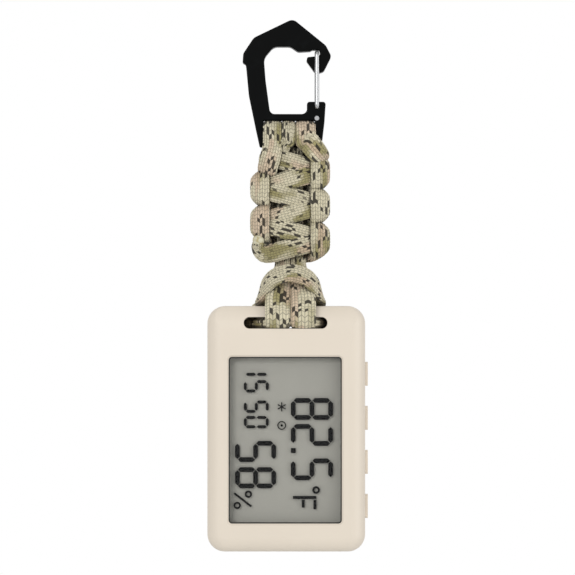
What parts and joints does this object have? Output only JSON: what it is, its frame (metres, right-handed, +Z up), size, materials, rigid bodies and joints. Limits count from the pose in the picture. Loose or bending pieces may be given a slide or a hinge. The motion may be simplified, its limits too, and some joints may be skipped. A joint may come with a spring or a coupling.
{
  "type": "handheld weather meter",
  "caption": "Slim rectangular pocket thermometer and hygrometer with a segment display and side buttons, hung from a wire-gate carabiner by a braided cord.",
  "frame": {"origin": "the inside top of the carabiner, where a hook or ring bears", "axes": "+Z up along the hanging object, -Y out of the display, +X towards the side buttons"},
  "size_m": [0.0458, 0.0184, 0.1517],
  "materials": {
    "anodised_frame": "black anodised, satin",
    "steel_wire": "drawn stainless wire",
    "cord": "braided nylon sheath in desert camouflage",
    "melted_cord": "nylon melted to a smooth bead",
    "case_plastic": "moulded cream ABS, satin",
    "screw_steel": "zinc plated",
    "gasket": "black foam rubber",
    "clear_window": "clear acrylic",
    "lcd_glass": "display glass",
    "lcd_ink": "dark liquid crystal",
    "lcd_film": "grey-green reflector film",
    "white_plastic": "moulded",
    "zebra_rubber": "layered conductive silicone",
    "board": "green solder mask",
    "black_plastic": "moulded",
    "membrane": "fine dark mesh",
    "cell_steel": "nickel plated",
    "contact_metal": "gold-flashed spring bronze"
  },
  "bodies": {
    "carabiner": {"carabiner_frame": "anodised_frame", "gate_wire_tail": "steel_wire"},
    "gate": {"gate_wire": "steel_wire"},
    "lanyard": {"bar_loops": "cord", "cobra_weave": "cord", "core_cord": "cord", "cord_ends": "melted_cord"},
    "meter": {"hitch_legs": "cord", "hitch_wraps": "cord", "hitch_bight": "cord", "front_shell": "case_plastic", "back_shell": "case_plastic", "case_screws": "screw_steel", "window_gasket": "gasket", "display_window": "clear_window", "lcd_front_glass": "lcd_glass", "lcd_segments": "lcd_ink", "lcd_rear_glass": "lcd_glass", "lcd_reflector": "lcd_film", "display_holder": "white_plastic", "zebra_strips": "zebra_rubber", "circuit_board": "board", "board_parts": "black_plastic", "humidity_sensor": "white_plastic", "vent_membrane": "membrane", "side_switches": "black_plastic", "coin_cell": "cell_steel", "cell_contact_minus": "contact_metal", "cell_contact_plus": "contact_metal", "door_seal": "gasket"},
    "top_button": {"button_1": "case_plastic"},
    "upper_button": {"button_2": "case_plastic"},
    "lower_button": {"button_3": "case_plastic"},
    "bottom_button": {"button_4": "case_plastic"},
    "door": {"battery_door": "case_plastic"}
  },
  "joints": [
    {"name": "gate_pivot", "type": "hinge", "parent": "carabiner", "child": "gate", "pos_m": [0.00875, 0, -0.0172], "axis": [0, -1, 0], "range_deg": [0, 38], "stiffness_Nm_per_rad": 0.02, "springref_deg": -11.46},
    {"name": "lanyard_swing", "type": "hinge", "parent": "carabiner", "child": "lanyard", "pos_m": [0.0009, 0, -0.0255], "axis": [1, 0, 0], "range_deg": [-40, 40]},
    {"name": "meter_swing", "type": "hinge", "parent": "lanyard", "child": "meter", "pos_m": [0.0011, 0, -0.0627], "axis": [1, 0, 0], "range_deg": [-32, 32]},
    {"name": "press_1", "type": "slide", "parent": "meter", "child": "top_button", "axis": [-1, 0, 0], "range_m": [0, 0.0004], "stiffness_N_per_m": 300, "springref_m": -0.0006},
    {"name": "press_2", "type": "slide", "parent": "meter", "child": "upper_button", "axis": [-1, 0, 0], "range_m": [0, 0.0004], "stiffness_N_per_m": 300, "springref_m": -0.0006},
    {"name": "press_3", "type": "slide", "parent": "meter", "child": "lower_button", "axis": [-1, 0, 0], "range_m": [0, 0.0004], "stiffness_N_per_m": 300, "springref_m": -0.0006},
    {"name": "press_4", "type": "slide", "parent": "meter", "child": "bottom_button", "axis": [-1, 0, 0], "range_m": [0, 0.0004], "stiffness_N_per_m": 300, "springref_m": -0.0006},
    {"name": "door_turn", "type": "hinge", "parent": "meter", "child": "door", "pos_m": [0, 0.006, -0.1205], "axis": [0, 1, 0], "range_deg": [0, 45]}
  ]
}
